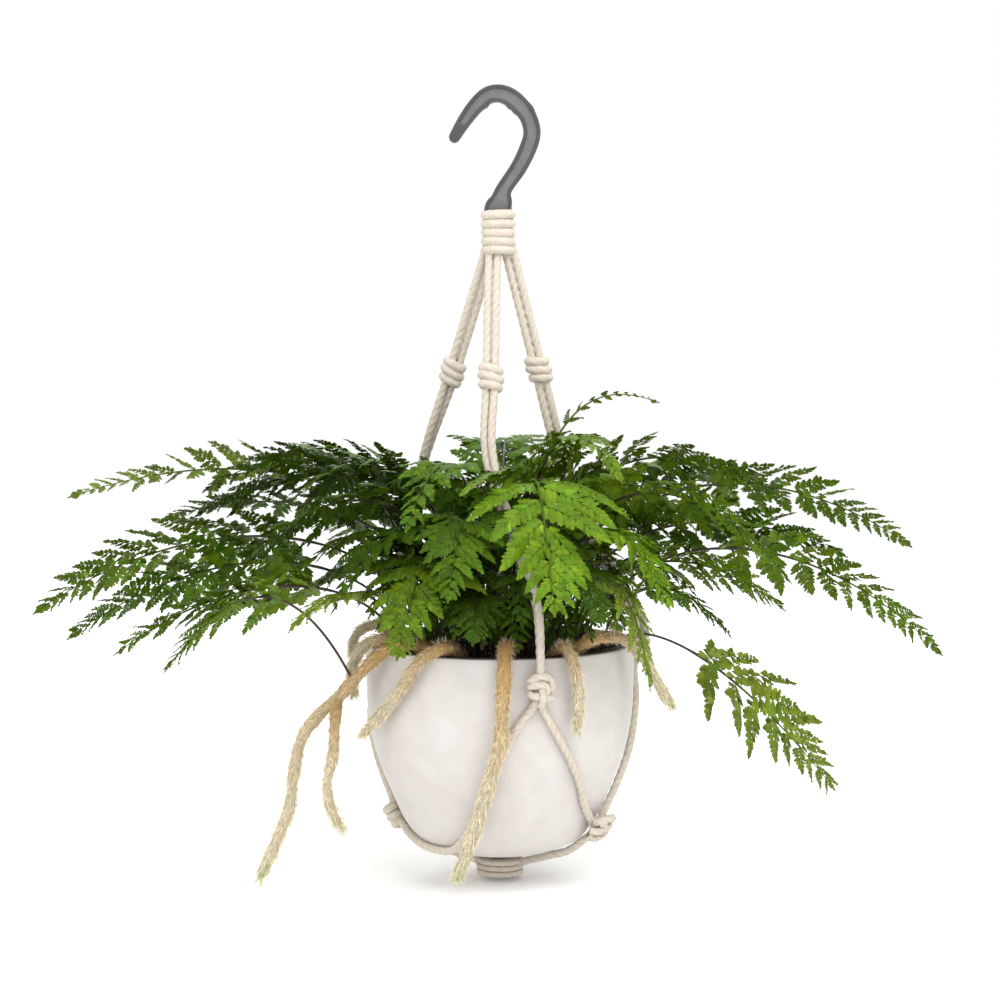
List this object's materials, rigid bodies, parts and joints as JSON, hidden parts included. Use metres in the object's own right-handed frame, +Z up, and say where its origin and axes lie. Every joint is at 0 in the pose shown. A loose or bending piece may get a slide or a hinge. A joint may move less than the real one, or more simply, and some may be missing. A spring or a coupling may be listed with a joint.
{
  "type": "potted fern in rope hanger",
  "caption": "Bear's foot fern with arching cut fronds and furry creeping rhizomes in a rounded ceramic pot, held in a knotted rope hanger with a top hook.",
  "frame": {"origin": "the point inside the hook's bow that bears on a rail or ceiling hook", "axes": "+Z up, -Y towards the front, +X to the right seen from the front"},
  "size_m": [0.6151, 0.3821, 0.5276],
  "materials": {
    "hook": "satin moulded plastic",
    "pot": "matte off-white",
    "nursery_pot": "thin black plastic",
    "potting_soil": "loose dark soil and bark",
    "rope": "twisted natural cotton",
    "rhizome": "woolly golden scales",
    "leaf_dark": "glossy leaf",
    "leaf_deep": "glossy leaf",
    "leaf_mid": "glossy leaf",
    "leaf_light": "glossy young leaf",
    "leaf_bright": "glossy young leaf"
  },
  "bodies": {
    "root": {"hook": "hook", "pot": "pot", "nursery_pot": "nursery_pot", "potting_soil": "potting_soil", "hanger_wrap": "rope", "hanger_leg_left": "rope", "hanger_net_left": "rope", "hanger_leg_front": "rope", "hanger_net_front": "rope", "hanger_leg_right": "rope", "hanger_net_right": "rope", "hanger_low_knot_right": "rope", "hanger_low_knot_left": "rope", "hanger_low_knot_back": "rope", "hanger_ring": "rope", "rhizome_left_long": "rhizome", "rhizome_left_short": "rhizome", "rhizome_front_left": "rhizome", "rhizome_front": "rhizome", "rhizome_front_right": "rhizome", "rhizome_right": "rhizome", "rhizome_back_left": "rhizome", "rhizome_back": "rhizome", "frond_left_high": "leaf_light", "frond_left_long": "leaf_mid", "frond_left_low": "leaf_deep", "frond_left_droop": "leaf_mid", "frond_left_outer": "leaf_mid", "frond_left_back": "leaf_dark", "frond_left_crown": "leaf_deep", "frond_left_crest": "leaf_dark", "frond_left_front": "leaf_dark", "frond_left_under": "leaf_light", "frond_front_left": "leaf_mid", "frond_front_leaning": "leaf_dark", "frond_front_centre": "leaf_deep", "frond_front_broad": "leaf_bright", "frond_front_low": "leaf_dark", "frond_front_right": "leaf_bright", "frond_front_hanging": "leaf_light", "frond_front_inner": "leaf_dark", "frond_centre_left": "leaf_deep", "frond_centre_right": "leaf_mid", "frond_right_low": "leaf_light", "frond_right_thin": "leaf_deep", "frond_right_under": "leaf_mid", "frond_right_middle": "leaf_mid", "frond_right_level": "leaf_deep", "frond_right_long": "leaf_mid", "frond_right_reach": "leaf_mid", "frond_right_crown": "leaf_deep", "frond_right_crest": "leaf_mid", "frond_sprig": "leaf_light", "frond_back_right": "leaf_deep", "frond_back_right_high": "leaf_mid", "frond_back_middle": "leaf_dark", "frond_back_crest": "leaf_deep", "frond_back_left": "leaf_deep", "frond_back_left_high": "leaf_mid", "frond_back_low": "leaf_mid"}
  },
  "joints": []
}
